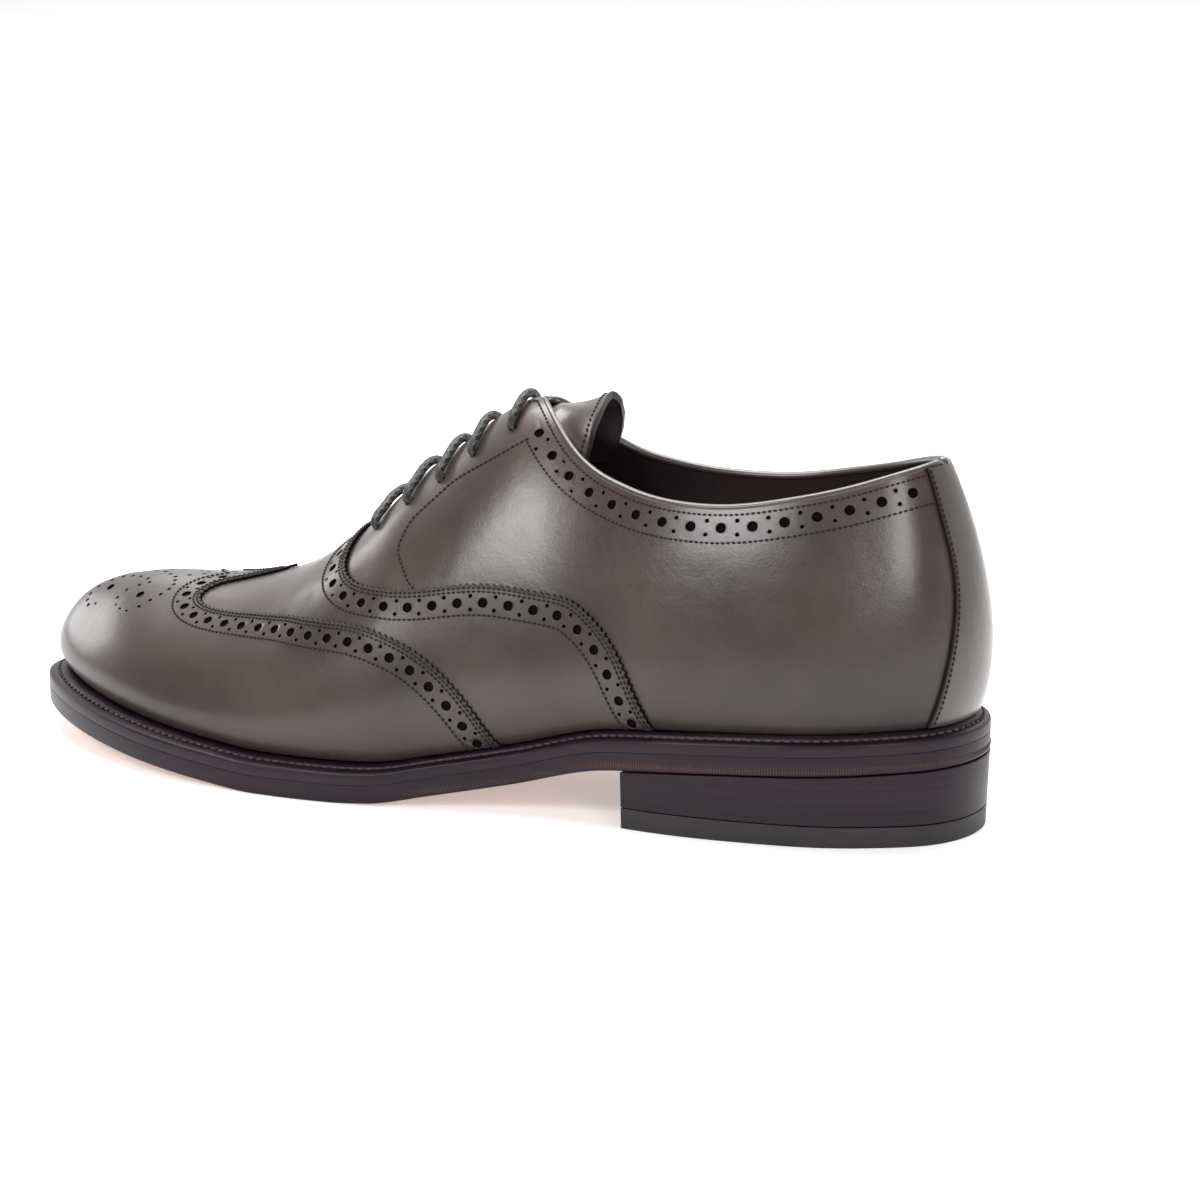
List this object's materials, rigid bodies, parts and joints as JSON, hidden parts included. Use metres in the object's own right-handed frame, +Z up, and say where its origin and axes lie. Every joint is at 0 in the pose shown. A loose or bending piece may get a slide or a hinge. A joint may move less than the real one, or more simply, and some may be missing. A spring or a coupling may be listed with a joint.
{
  "type": "full brogue oxford shoe",
  "caption": "Left lace-up leather oxford shoe with a pointed winged toe cap, punched bands, closed lacing, a welted leather sole and a stacked heel.",
  "frame": {"origin": "on the floor, under the middle of the shoe's bounding box", "axes": "toe towards -X, heel towards +X, outer side towards -Y, inner side towards +Y, +Z up"},
  "size_m": [0.3062, 0.1062, 0.1151],
  "materials": {
    "calf": "smooth polished calf, satin gloss",
    "lining": "smooth dark lining leather, matte",
    "edge": "waxed dark sole edge, satin",
    "sole": "natural sole leather, matte",
    "top_piece": "dark heel rubber, matte",
    "lace": "round waxed cotton, matte"
  },
  "bodies": {
    "root": {"outsole": "sole", "heel_stack": "edge", "heel_top_piece": "top_piece", "welt": "edge", "insole": "lining", "upper": "calf", "vamp": "calf", "wing_cap": "calf", "back_strip": "calf", "tongue": "calf", "lace_bar_1": "lace", "lace_bar_2": "lace", "lace_bar_3": "lace", "lace_bar_4": "lace", "lace_bar_5": "lace"}
  },
  "joints": []
}
